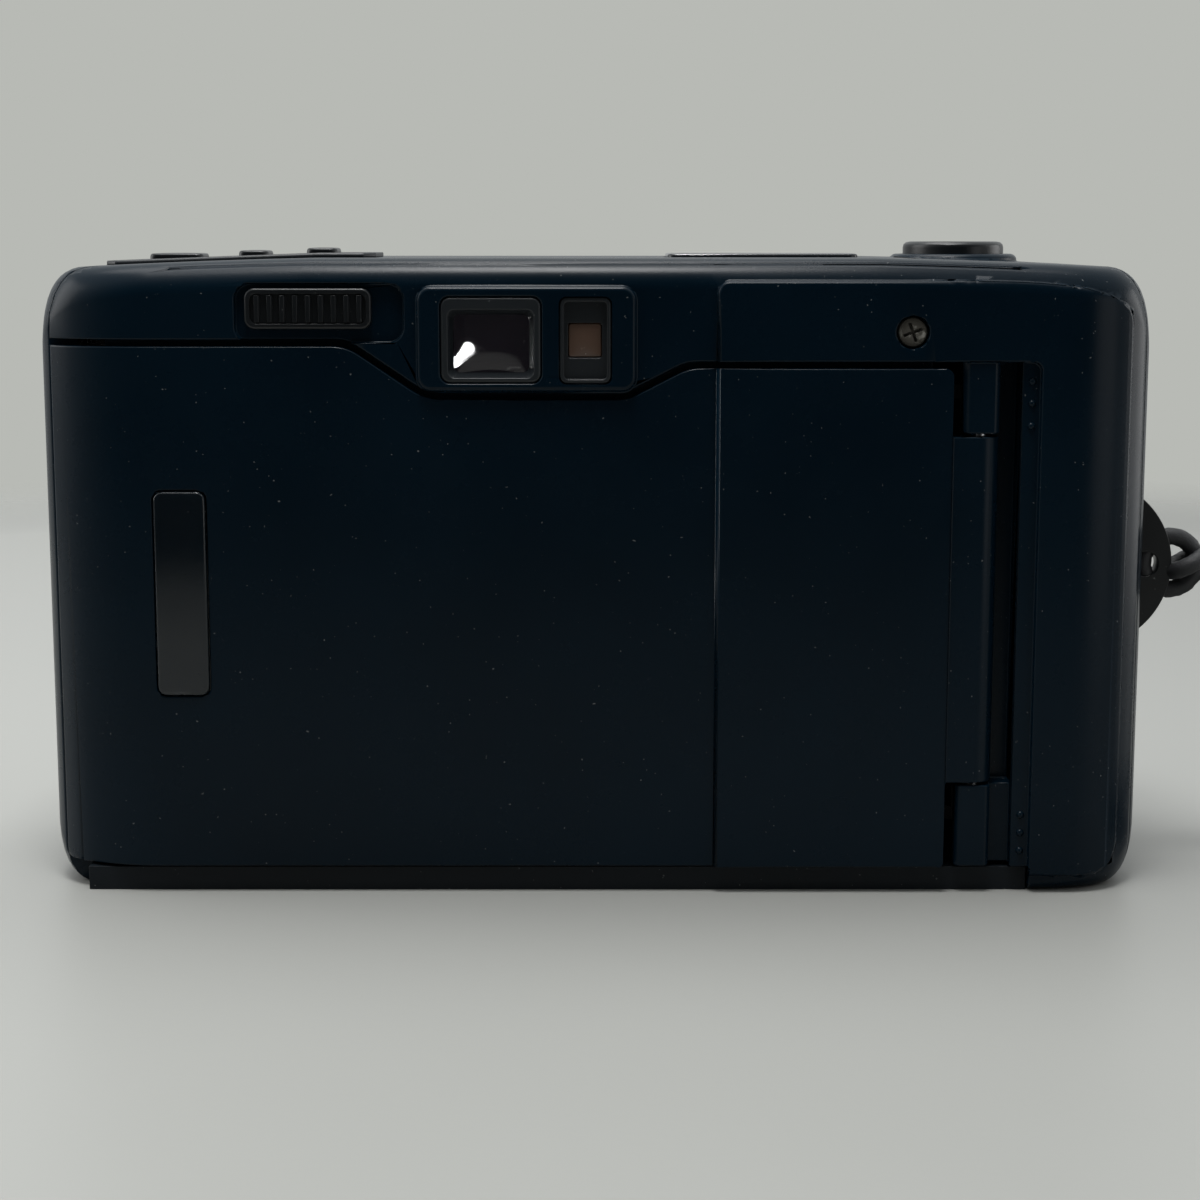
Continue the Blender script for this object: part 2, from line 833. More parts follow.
@dataclass
class Studio:
    """Camera, table top, world and lamps.

    Attributes:
        eye: Where the camera stands.
        pitch: How far it looks down, in degrees.
        focal: Its focal length on a 36 mm sensor.
        table_centre: The middle of the round table top.
        table_radius: Where it fades into the wall.
        wall: The wall's colour.
        table: The table top's colour.
        sky: The colour of the light from the world.
        overhead: The world's rise along Z: the part, its two places and their levels.
        ahead: The same along Y.
        boxes: Each lamp's name, place, target, size and power in watts.
    """

    eye: Point3 = (0.58, -264.0, 70.9)
    pitch: float = 8.9
    focal: float = 69.9
    table_centre: Point2 = (0.0, 72.0)
    table_radius: float = 318.0
    wall: Colour = (0.479, 0.491, 0.462)
    table: Colour = (0.300, 0.303, 0.288)
    sky: Colour = (0.97, 1.0, 1.0)
    overhead: tuple[float, ...] = (2, -0.10, 0.80, 0.45, 0.85)
    ahead: tuple[float, ...] = (1, -0.92, -0.20, 0.04, 1.0)
    boxes: tuple[tuple[str, Point3, Point3, float, float], ...] = (
        ("top_box", (-60.0, 120.0, 620.0), (0.0, 10.0, 30.0), 420.0, 2.2),
        ("edge_strip", (-20.0, -120.0, 520.0), (0.0, 0.0, 60.0), 120.0, 1.5),
        ("left_box", (-640.0, 60.0, 260.0), (0.0, 0.0, 35.0), 420.0, 1.4),
        ("right_box", (600.0, 160.0, 90.0), (0.0, 0.0, 35.0), 360.0, 0.9),
        ("right_card", (470.0, -400.0, 60.0), (50.0, 0.0, 35.0), 260.0, 0.2),
    )
    catch_place: Point3 = (-119.4, -294.0, 10.7)
    catch_target: Point3 = (-13.5, -17.2, 58.7)
    catch_size: Point2 = (58.0, 86.0)
    catch_power: float = 0.6

    def build(self) -> None:
        """Make the camera, the table, the world and the lamps."""
        self.camera()
        self.table_top()
        self.world()
        self.lamps()

    def camera(self) -> None:
        """Make the scene's camera."""
        data = bpy.data.cameras.new("camera")
        data.sensor_width = 36.0
        data.lens = self.focal
        data.clip_start = 0.01
        data.clip_end = 20.0
        stand = placed("camera", data)
        stand.location = Vector(self.eye) * MM
        stand.rotation_euler = (math.radians(90.0 - self.pitch), 0.0, 0.0)
        bpy.context.scene.camera = stand

    def table_top(self) -> None:
        """Make a round table top that fades out at its rim."""
        rim = [(1.5 * self.table_radius * x, 1.5 * self.table_radius * y)
               for x, y in arc((0.0, 0.0), (1.0, 1.0), 0.0, 360.0, 96)[:-1]]
        top = prism("table_top", rim, -4.0, 0.0, Axis.Z)
        material = bpy.data.materials.new("table_paint")
        graph = Graph(material)
        place = graph.place()
        across = graph.node("ShaderNodeSeparateXYZ", {}, [place], 0)
        along = graph.node("ShaderNodeSeparateXYZ", {}, [place], 1)
        cloud = graph.noise(9.0, 3.0)
        grain = graph.noise(900.0, 3.0)
        side = across.above(0.02, 0.17)
        lit = graph.blend(side, tuple(c * 1.16 for c in self.table), tuple(c * 0.83 for c in self.table))
        graph.feed("Base Color", graph.blend(cloud * 0.10, lit, (0.42, 0.42, 0.40)))
        graph.feed("Roughness", 0.42 + (cloud - 0.5) * 0.15)
        graph.feed("Specular IOR Level", 0.35)
        graph.bump(grain, 0.000006)
        east = across - self.table_centre[0] * MM
        north = along - self.table_centre[1] * MM
        fade = ((east * east + north * north) ** 0.5).above(self.table_radius * MM, 0.06)
        clear = graph.node("ShaderNodeBsdfTransparent")
        paint = Signal(graph, graph.shader.outputs[0])
        mixed = graph.node("ShaderNodeMixShader", {}, [fade, paint, clear])
        graph.put(graph.output.inputs["Surface"], mixed)
        top.data.materials.append(material)

    def world(self) -> None:
        """Make a world that is bright above and behind the object and dim on the camera's side."""
        world = bpy.data.worlds.new("studio")
        bpy.context.scene.world = world
        graph = Graph(world, "ShaderNodeMixShader", "ShaderNodeOutputWorld")
        way = graph.node("ShaderNodeTexCoord", output="Generated")
        level = self.ramp(graph, way, *self.overhead) * self.ramp(graph, way, *self.ahead)
        sky = graph.node("ShaderNodeBackground", {}, {"Color": self.sky, "Strength": level})
        wall = graph.node("ShaderNodeBackground", {}, {"Color": self.wall})
        camera_ray = graph.node("ShaderNodeLightPath", output="Is Camera Ray")
        for socket, value in zip(graph.shader.inputs, (camera_ray, sky, wall)):
            graph.put(socket, value)
        bpy.context.scene.view_settings.view_transform = "Standard"

    @staticmethod
    def ramp(
        graph: Graph, way: Signal, part: int, low: float, high: float, dark: float, bright: float
    ) -> Signal:
        """Map one part of a direction to a light level.

        Args:
            graph: The world's graph.
            way: The direction.
            part: Which part of it counts, 0, 1 or 2.
            low: Where the dark level ends.
            high: Where the bright level begins.
            dark: The level below low.
            bright: The level above high.

        Returns:
            The level.
        """
        value = graph.node("ShaderNodeSeparateXYZ", {}, [way], part)
        settings = {"interpolation_type": "SMOOTHSTEP"}
        return graph.node("ShaderNodeMapRange", settings, [value, low, high, dark, bright])

    def lamps(self) -> None:
        """Hang the soft boxes."""
        for name, place, target, size, power in self.boxes:
            self.lamp(name, place, target, (size, size), power, "SQUARE")

    @staticmethod
    def lamp(
        name: str, place: Point3, target: Point3, size: Point2, power: float, shape: str
    ) -> bpy.types.Object:
        """Hang an area lamp that the camera doesn't see.

        Args:
            name: The lamp's name.
            place: Where it hangs.
            target: Where it points.
            size: Its width and height.
            power: Its power in watts.
            shape: SQUARE or ELLIPSE.

        Returns:
            The lamp.
        """
        data = bpy.data.lights.new(name, "AREA")
        data.shape = shape
        data.size, data.size_y = size[0] * MM, size[1] * MM
        data.energy = power
        made = placed(name, data)
        made.location = Vector(place) * MM
        made.visible_camera = False
        made.rotation_euler = (Vector(target) - Vector(place)).to_track_quat("-Z", "Y").to_euler()
        return made

    def catch_light(self, glass: bpy.types.Object) -> None:
        """Hang a small lamp that only the eyepiece glass mirrors."""
        made = self.lamp("catch_light", self.catch_place, self.catch_target, self.catch_size,
                         self.catch_power, "ELLIPSE")
        lit = bpy.data.collections.new("catch_light_receivers")
        lit.objects.link(glass)
        made.light_linking.receiver_collection = lit


# --- Wrist strap ------------------------------------------------------------------------------


@dataclass
class WristStrap:
    """Braided wrist cord with the hitch that ties it to the lug.

    Attributes:
        radius: The cord's radius.
        route: The points that the cord passes, from the hitch and back to it.
        strands: Strands that wind each way round the braid.
        pitch: The length of one turn of a strand.
        hitch_centre: The middle of the hitch's ring.
    """

    radius: float = 1.0
    route: tuple[Point3, ...] = (
        (68.8, -4, 35.6), (71, -3, 36), (74.5, -1, 33), (77, 2, 25), (78.5, 5, 15),
        (79.5, 8, 6), (80.5, 12, 1.8), (82, 17, 1), (85, 22, 1), (90, 26, 1),
        (96, 26, 1), (100, 21, 1), (102, 13, 1), (103, 3, 1), (103, -7, 1),
        (101, -16, 1), (97, -23, 1), (91, -27, 1), (85, -26, 1), (81, -21, 1),
        (79, -12, 1), (80, -2, 1), (83, 7, 1), (85, 15, 1), (90, 21, 1),
        (95, 19, 1), (98, 10, 1), (98.5, -2, 1), (97, -13, 1), (92, -20, 1),
        (87, -18, 1), (84, -11, 1.6), (81, -6, 3.6), (77.5, -4, 7), (74.5, -4.5, 15),
        (71.5, -5, 25), (69, -4, 33.2),
    )
    strands: int = 6
    pitch: float = 6.5
    hitch_centre: Point3 = (64.7, -4.0, 34.45)

    def build(self) -> None:
        line = self.smooth_line(self.route, 14)
        hitch = self.hitch()
        cord = self.braided("wrist_cord", line)
        dressed(hitch, CORD, "body", ["strap_hitch"])
        dressed(cord, CORD, "body", ["wrist_strap"])
        tuple(v * MM for v in line[0])
        [tuple(v * MM for v in p) for p in line]

    @staticmethod
    def smooth_line(points: Sequence[Point3], steps: int) -> list[Point3]:
        """Pass a Catmull-Rom curve through points and space it evenly.

        Args:
            points: The points.
            steps: Samples between two points.

        Returns:
            Points about half a millimetre apart.
        """
        ends = [Vector(points[0]) * 2 - Vector(points[1]), *map(Vector, points)]
        ends.append(Vector(points[-1]) * 2 - Vector(points[-2]))
        fine: list[Vector] = []
        for a, b, c, d in zip(ends, ends[1:], ends[2:], ends[3:]):
            for step in range(steps):
                t = step / steps
                fine.append(
                    0.5 * (2 * b + (c - a) * t + (2 * a - 5 * b + 4 * c - d) * t * t
                           + (3 * b - a - 3 * c + d) * t * t * t)
                )
        fine.append(ends[-2])
        for point in fine:
            point.z = max(point.z, 1.0)
        total = sum((b - a).length for a, b in zip(fine, fine[1:]))
        count = round(total / 0.42)
        spaced = [fine[0]]
        walked, index = 0.0, 0
        for number in range(1, count):
            goal = total * number / count
            while walked + (fine[index + 1] - fine[index]).length < goal:
                walked += (fine[index + 1] - fine[index]).length
                index += 1
            share = (goal - walked) / (fine[index + 1] - fine[index]).length
            spaced.append(fine[index].lerp(fine[index + 1], share))
        spaced.append(fine[-1])
        return [tuple(p) for p in spaced]

    def braided(self, name: str, line: Sequence[Point3], closed: bool = False) -> bpy.types.Object:
        """Skin a line with a tube whose surface shows crossing strands.

        Args:
            name: The piece's name.
            line: Points about half a millimetre apart.
            closed: Whether the line is a loop.

        Returns:
            The tube.
        """
        sides = 18
        points = [Vector(p) for p in line]
        count = len(points)
        rings = []
        first = (points[1] - points[0]).normalized()
        side = Vector((0.0, 1.0, 0.0)) if abs(first.z) > 0.9 else Vector((0.0, 0.0, 1.0))
        walked = 0.0
        for index, point in enumerate(points):
            before = points[index - 1] if index or closed else point
            after = points[(index + 1) % count] if index + 1 < count or closed else point
            ahead = (after - before).normalized()
            side = (side - ahead * side.dot(ahead)).normalized()
            other = ahead.cross(side)
            walked += (point - points[index - 1]).length if index else 0.0
            ring = []
            for step in range(sides):
                turn = 2 * math.pi * step / sides
                twist = 2 * math.pi * walked / self.pitch
                over = math.sin(self.strands * (turn + twist))
                under = math.sin(self.strands * (turn - twist))
                height = max(over, under) * 0.5 + 0.5
                reach = self.radius * (0.88 + 0.12 * height)
                ring.append(tuple(point + (side * math.cos(turn) + other * math.sin(turn)) * reach))
            rings.append(ring)
        return smooth(lofted(name, rings, closed))

    def hitch(self) -> bpy.types.Object:
        """Make the hitch: two strands that pass through the lug and over each other."""
        x, y, z = self.hitch_centre
        ring = []
        steps = 46
        for step in range(steps):
            turn = 2 * math.pi * step / steps
            ring.append((x + 3.0 * math.cos(turn), y, z + 3.0 * math.sin(turn)))
        knot = []
        for step in range(steps):
            turn = 2 * math.pi * step / steps
            c, s = math.cos(turn), math.sin(turn)
            knot.append((x + 1.9 + 1.7 * c, y + 1.9 * s, z + 0.9 * c))
        return gather("strap_hitch_loop", [
            self.braided("strap_loop", ring, closed=True), self.braided("strap_knot", knot, closed=True)])


# --- Body shells --------------------------------------------------------------------------------


@dataclass
class Envelope:
    """The outer form that both shells and the door are cut from.

    Attributes:
        half_width: Half the body's width.
        height: The body's height.
        rear: Where the rear face is.
        panel: Where the raised panel's face is.
        front: Where the front face is.
        grip: How far the grip stands out from the front face.
        crease: Where the raised panel begins.
    """

    half_width: float = 60.0
    height: float = 68.5
    rear: float = -17.4
    panel: float = -18.0
    front: float = 17.0
    grip: float = 5.0
    crease: float = 12.9
    left_sweep: Point2 = (13.0, 8.4)
    right_sweep: Point2 = (9.2, 8.0)
    left_front: Point2 = (12.0, 10.0)
    right_front: Point2 = (12.0, 12.0)
    deck_fall: float = 0.9
    top_corner: float = 5.5
    bottom_corner: float = 4.0

    def stations(self) -> list[float]:
        """Return where the cross-sections stand along X."""
        ends = [1.0 - math.cos(math.radians(90.0 * step / 18)) for step in range(19)]
        left = [-self.half_width + self.left_sweep[0] * share for share in ends]
        right = [self.half_width - self.right_front[0] * share for share in reversed(ends)]
        middle = [-42.0, -36.0, -30.0, -24.0, -16.0, -8.0, 0.0, 6.0, self.crease - 0.6, self.crease]
        middle += [18.0, 23.0] + [25.0 + step for step in range(0, 18)] + [44.0, 46.0]
        return left + middle + right

    def rear_at(self, x: float, raised: bool) -> float:
        """Return the rear line's Y at a station.

        Args:
            x: The station.
            raised: Whether the panel's own level is wanted to the right of the crease.

        Returns:
            The Y of the rear surface.
        """
        level = self.rear
        if raised and x > self.crease - 0.6:
            share = min(1.0, (x - self.crease + 0.6) / 0.6)
            level = self.rear + (self.panel - self.rear) * share
        left_edge = -self.half_width + self.left_sweep[0]
        if x < left_edge:
            along = min(1.0, (left_edge - x) / self.left_sweep[0])
            return self.rear + self.left_sweep[1] * (1.0 - math.sqrt(1.0 - along * along))
        right_edge = self.half_width - self.right_sweep[0]
        if x > right_edge:
            along = min(1.0, (x - right_edge) / self.right_sweep[0])
            depth = self.panel + self.right_sweep[1] - level
            return level + depth * (1.0 - math.sqrt(1.0 - along * along))
        return level

    def front_at(self, x: float) -> float:
        """Return the front line's Y at a station."""
        left_edge = -self.half_width + self.left_front[0]
        if x < left_edge:
            along = min(1.0, (left_edge - x) / self.left_front[0])
            return self.front - self.left_front[1] * (1.0 - math.sqrt(1.0 - along * along))
        rise = max(0.0, min(1.0, (x - 27.0) / 14.0))
        level = self.front + self.grip * rise * rise * (3.0 - 2.0 * rise)
        right_edge = self.half_width - self.right_front[0]
        if x > right_edge:
            along = min(1.0, (x - right_edge) / self.right_front[0])
            return level - self.right_front[1] * (1.0 - math.sqrt(1.0 - along * along))
        return level

    def height_at(self, x: float) -> Point2:
        """Return the body's lowest and highest Z at a station."""
        inset = self.half_width - abs(x)
        low, high = 0.0, self.height
        if inset < self.bottom_corner:
            along = 1.0 - inset / self.bottom_corner
            low = self.bottom_corner * (1.0 - math.sqrt(max(0.0, 1.0 - along * along)))
        slope = max(0.0, (abs(x) - 30.0) / (self.half_width - self.top_corner - 30.0))
        high -= self.deck_fall * min(1.0, slope * slope * 0.4 + slope * 0.6)
        if inset < self.top_corner:
            along = 1.0 - inset / self.top_corner
            high -= self.top_corner * (1.0 - math.sqrt(max(0.0, 1.0 - along * along)))
        return low, high

    def solid(self, name: str, inset: float = 0.0, raised: bool = False) -> bpy.types.Object:
        """Build the closed form.

        Args:
            name: The object's name.
            inset: How far the surface is set in.
            raised: Whether the rear line follows the raised panel.

        Returns:
            The solid.
        """
        rings = []
        for station in self.stations():
            x = station * (self.half_width - inset) / self.half_width
            rear, front = self.rear_at(station, raised) + inset, self.front_at(station) - inset
            low, high = self.height_at(station)
            low, high = low + inset, high - inset
            end = max(0.0, (abs(station) - 46.0) / 14.0) ** 2
            radii = [max(0.5, r + (grown - r) * end - inset * 0.8) for r, grown in
                     ((1.6, 4.0), (2.0, 4.0), (3.0, 5.0), (3.3, 5.0))]
            outline = rounded_outline(
                [(rear, low, radii[0]), (front, low, radii[1]), (front, high, radii[2]),
                 (rear, high, radii[3])], 8)
            rings.append([(x, y, z) for y, z in outline])
        return lofted(name, rings)


@dataclass
class Shells:
    """The front shell, the rear shell with its hinge knuckles, and the plinth below them.

    Attributes:
        wall: Thickness of the shells.
        split: Where the shells meet.
    """

    form: Envelope
    wall: float = 1.5
    split: float = -13.0
    seat: float = 0.05
    base_top: float = 2.6
    housing: tuple[float, float, float, float] = (-7.15, 60.1, 23.1, 11.0)
    recess: tuple[float, float, float, float] = (-29.0, 62.8, 17.8, 6.2)
    hinge: Point2 = (41.0, -15.9)
    knuckle_radius: float = 1.9
    groove_right: float = 45.3
    flange_right: float = 47.2
    screw: Point2 = (33.5, 60.8)
    eyepiece: tuple[float, float, float, float] = (-10.9, 60.0, 10.7, 9.1)
    bezel: tuple[float, float, float, float] = (-0.95, 59.95, 5.6, 9.2)
    parts: dict[str, bpy.types.Object] = field(default_factory=dict)

    @staticmethod
    def door_corners(gap: float) -> list[tuple[float, float, float]]:
        """Return the door's outline as x, z and corner radius, grown by a gap."""
        return [
            (-75.0, 2.9 - gap, 0.0), (37.9 + gap, 2.9 - gap, 0.6), (37.9 + gap, 57.0 + gap, 0.9),
            (10.0 - gap * 0.4, 57.0 + gap, 5.0), (3.5 - gap * 0.4, 53.7 + gap, 5.0),
            (-17.9 + gap * 0.3, 53.7 + gap, 6.5), (-26.2 + gap * 0.3, 59.3 + gap, 5.0),
            (-75.0, 59.3 + gap, 0.0),
        ]

    def whole(self) -> bpy.types.Object:
        """Build the hollow body with its raised panel."""
        form = self.form
        body = form.solid("body_form")
        slab = form.solid("panel_form", 0.0, True)
        rings = [[(x, level, z) for x, z in self.panel_outline(inset)]
                 for level, inset in self.edge_profile()]
        combine(slab, [lofted("panel_region", rings)], "INTERSECT")
        join(body, slab)
        cut(body, form.solid("body_room", self.wall, True))
        return body

    def edge_profile(self) -> list[Point2]:
        """Return the raised panel's edge as levels along Y and how far each is set in."""
        face, radius = self.form.panel - 0.004, 0.5
        profile = [(-5.0, 0.0)]
        for step in range(6):
            turn = math.radians(18.0 * step)
            profile.append((face + radius * (1.0 - math.sin(turn)), radius * (1.0 - math.cos(turn))))
        return profile + [(-40.0, radius + 0.01)]

    def panel_outline(self, inset: float) -> list[Point2]:
        """Return the raised panel's outline, its top right corner a long falling curve.

        Args:
            inset: How far the outline is set in.

        Returns:
            The outline in X and Z.
        """
        left, right, low, high = self.form.crease, 57.1, 1.9, 66.15
        k = inset
        return [
            *arc((left + 0.9, low + 0.9), (0.9 - k, 0.9 - k), 180.0, 270.0, 6),
            *arc((right - 3.4, low + 3.4), (3.4 - k, 3.4 - k), 270.0, 360.0, 10),
            *self.squared_corner((right - 20.0, high - 5.2), (20.0 - k, 5.2 - k), 28),
            *arc((left + 1.4, high - 1.4), (1.4 - k, 1.4 - k), 90.0, 180.0, 6),
        ]

    @staticmethod
    def squared_corner(centre: Point2, radii: Point2, steps: int) -> list[Point2]:
        """Return a quarter of a squared ellipse, from its right end to its top."""
        turns = [math.radians(90.0 * step / steps) for step in range(steps + 1)]
        return [(centre[0] + radii[0] * abs(math.cos(turn)) ** (2 / 3),
                 centre[1] + radii[1] * abs(math.sin(turn)) ** (2 / 3)) for turn in turns]

    def build(self) -> None:
        """Cut the body into its shells and door, and keep them for the classes that finish them."""
        body = self.whole()
        rear = copied(body, "rear_shell")
        combine(rear, [block("rear_zone", (-90, -60, -9), (90, self.split - self.seat, 90))], "INTERSECT")
        front = copied(body, "front_shell")
        combine(front, [block("front_zone", (-90, self.split, -9), (90, 60, 90))], "INTERSECT")
        bpy.data.objects.remove(body)
        door = copied(rear, "back_door")
        prism_door = prism("door_zone", rounded_outline(self.door_corners(0.0), 8), -60.0, 0.0, Axis.Y)
        combine(door, [prism_door], "INTERSECT")
        self.parts = {"front": front, "rear": rear, "door": door}
        self.cut_rear(rear)
        self.cut_front(front)

    def cut_rear(self, rear: bpy.types.Object) -> None:
        """Shape the rear shell: its opening, hinge pocket, finder housing and switch recess."""
        hinge_x, hinge_y = self.hinge
        low, high = self.base_top + 0.4, self.form.height - 6.0
        inner = self.split - self.seat
        cut(
            rear,
            prism("opening", rounded_outline(self.door_corners(0.7), 8), -60.0, 0.0, Axis.Y),
            block("groove", (37.0, -60.0, -9.0), (self.groove_right, 0.0, 57.7)),
            prism("pocket", box_outline((41.0, 24.7), (2 * (self.flange_right - 41.0), 66.0), 1.0),
                  -60.0, self.form.panel + 0.8, Axis.Y),
            block("plinth_room", (-90.0, -60.0, -9.0), (47.35, 60.0, self.base_top + 0.15)),
        )
        x, z, w, h = self.housing
        surround = prism("surround", box_outline((x, z), (w, h), 1.5), -18.2, self.form.rear + 1.4, Axis.Y)
        round_over(surround, 0.5, 3)
        web = block("web", (hinge_x + 0.3, hinge_y, low + 0.04),
                    (self.groove_right + 0.5, self.split - 0.3, 11.9))
        join(
            rear,
            surround,
            block("return_wall", (self.groove_right - 0.01, self.form.panel + 0.82, low),
                  (46.83, inner - 0.03, high)),
            block("groove_floor", (39.6, self.split - 0.6, low + 0.02), (46.7, inner - 0.02, 60.0)),
            web,
        )
        for name, start, stop in (("low_knuckle", low, 12.0), ("high_knuckle", 50.1, 59.0)):
            join(rear, self.knuckle(name, start, stop))
        bumps = gather("flange_bumps", [self.flange_bump(z) for z in (55.6, 53.3, 50.9, 8.6, 6.6, 4.6)])
        dressed(bumps, SHELL, "body")
        ledge = prism("seal_ledge", rounded_outline(self.door_corners(1.6), 8), -15.6, self.split - 0.1,
                      Axis.Y)
        inner = prism("ledge_room", rounded_outline(self.door_corners(-0.9), 8), -30.0, 0.0, Axis.Y)
        cut(ledge, inner, block("ledge_left", (-90.0, -30.0, -9.0), (-52.0, 0.0, 90.0)),
            block("ledge_right", (36.0, -30.0, -9.0), (90.0, 0.0, 90.0)),
            block("ledge_low", (-90.0, -30.0, -9.0), (90.0, 0.0, 40.0)))
        join(rear, ledge)
        self.cut_rear_openings(rear)
        dressed_shell(rear, SHELL, "body", ["rear_cover"], 0.2)

    def cut_rear_openings(self, rear: bpy.types.Object) -> None:
        """Cut the openings in the rear shell's face."""
        x, z, w, h = self.recess
        bore = prism("pin_bore", arc(self.hinge, (0.78, 0.78), 0, 360, 24)[:-1], 3.4, 57.5, Axis.Z)
        seam = block("seam", (-45.0, -16.06, 64.0), (45.0, -15.78, 80.0))
        cut(seam, self.form.solid("seam_core", 0.3))
        room = prism("switch_room", box_outline((x, z), (w, h), 1.6), -60.0, self.form.rear + 0.8, Axis.Y)
        cut(
            rear,
            bore,
            prism("eye_hole", box_outline(self.eyepiece[:2], self.eyepiece[2:], 1.0), -60.0, 0.0, Axis.Y),
            prism("lamp_hole", box_outline(self.bezel[:2], self.bezel[2:], 0.8), -60.0, 0.0, Axis.Y),
            room,
            block("stem_slot", (-31.3, -60.0, 62.1), (-26.7, 0.0, 64.4)),
            prism("screw_seat", arc(self.screw, (1.75, 1.75), 0, 360, 32)[:-1], -60.0, -17.0, Axis.Y),
            prism("screw_bore", arc(self.screw, (1.0, 1.0), 0, 360, 24)[:-1], -60.0, 0.0, Axis.Y),
            seam,
        )

    def knuckle(self, name: str, start: float, stop: float) -> bpy.types.Object:
        """Build one hinge knuckle, square on its outer side and round inside."""
        x, y = self.hinge
        r = self.knuckle_radius
        outline = arc((x, y), (r, r), 0.0, 180.0, 16)
        outline += [(x - r, y - r + 0.5), (x - r + 0.5, y - r), (x + r - 0.5, y - r), (x + r, y - r + 0.5)]
        return prism(name, outline, start, stop, Axis.Z)

    def flange_bump(self, level: float) -> bpy.types.Object:
        """Build one of the small locating bumps on the flange beside the hinge."""
        y = self.form.panel + 0.8
        profile = [(0.0, y + 0.6), (0.42, y + 0.6), (0.42, y - 0.05), (0.22, y - 0.24), (0.0, y - 0.28)]
        return lathe(f"bump_{level:.0f}", profile, (46.3, level), Axis.Y, 16)

    def cut_front(self, front: bpy.types.Object) -> None:
        """Cut the front shell's openings and raise the collar round the shutter button."""
        deck = self.form.height
        collar = lathe(
            "collar", [(5.0, deck - 1.4), (7.2, deck - 1.4), (7.2, deck - 0.1), (6.75, deck + 0.3),
                       (5.0, deck + 0.3)], (41.0, 6.0), Axis.Z, 72)
        join(front, collar)
        base = [(-55.55, -17.0), (47.35, -17.0), (47.35, -1.85), (36.65, -1.85), (36.65, 13.15),
                (-55.55, 13.15)]
        tools = [
            prism("base_zone", base, -9.0, self.base_top + 0.2, Axis.Z),
            prism("ring_hole", arc((-8.0, 31.5), (17.0, 17.0), 0, 360, 96)[:-1], 8.0, 60.0, Axis.Y),
            prism("finder_hole", box_outline((-10.9, 60.0), (12.2, 8.8), 1.0), 8.0, 60.0, Axis.Y),
            prism("focus_hole", box_outline((10.0, 60.0), (15.2, 8.8), 1.0), 8.0, 60.0, Axis.Y),
            prism("flash_hole", box_outline((-37.5, 60.5), (19.2, 9.0), 1.0), 8.0, 60.0, Axis.Y),
            prism("shutter_hole", arc((41.0, 6.0), (5.85, 5.85), 0, 360, 64)[:-1], 60.0, 90.0, Axis.Z),
            prism("deck_hole", box_outline((18.45, 0.0), (21.1, 12.0), 1.0), 60.0, 90.0, Axis.Z),
            prism("cell_hole", arc((47.0, 8.6), (9.05, 9.05), 0, 360, 72)[:-1], -9.0, 3.6, Axis.Z),
            block("lug_slot", (57.5, -5.35, 25.15), (70.0, -2.65, 43.75)),
            block("latch_slot", (-70.0, -7.5, 24.0), (-57.5, -4.5, 38.0)),
        ]
        for x, w in ((-46.15, 5.9), (-37.65, 3.3), (-30.1, 3.4)):
            tools.append(prism("key_hole", box_outline((x, -2.0), (w + 0.3, 5.3), 0.8), 60.0, 90.0, Axis.Z))
        cut(front, *tools)
        dressed_shell(front, SHELL, "body", ["front_cover"], 0.2)


def dressed_shell(
    piece: bpy.types.Object, finish: Finish, body: str, nodes: Sequence[str], width: float
) -> None:
    """Round the long sharp edges of a large shell and dress it.

    Args:
        piece: The shell.
        finish: Its finish.
        body: The body that it rides on.
        nodes: The CAD nodes that it replaces.
        width: Width of the rounding in millimetres.
    """
    work = bmesh.new()
    work.from_mesh(piece.data)
    bmesh.ops.remove_doubles(work, verts=work.verts, dist=0.01 * MM)
    rims = [face for face in work.faces if all(abs(v.co.y / MM - RIM) < 0.1 for v in face.verts)]
    bmesh.ops.triangulate(work, faces=rims)
    weight = work.edges.layers.float.new("bevel_weight_edge")
    for edge in work.edges:
        sharp = len(edge.link_faces) == 2 and edge.calc_face_angle(0.0) > math.radians(34.0)
        on_rim = all(abs(v.co.y / MM - RIM) < 0.1 for v in edge.verts)
        if sharp and not on_rim and edge.calc_length() > 1.2 * width * MM:
            edge[weight] = 1.0
    work.to_mesh(piece.data)
    work.free()
    soften(piece, width, 2, 34.0)
    piece.modifiers.remove(piece.modifiers["flat"])
    piece.modifiers["edge"].limit_method = "WEIGHT"
    piece.modifiers["edge"].use_clamp_overlap = False
    dressed(piece, finish, body, nodes)


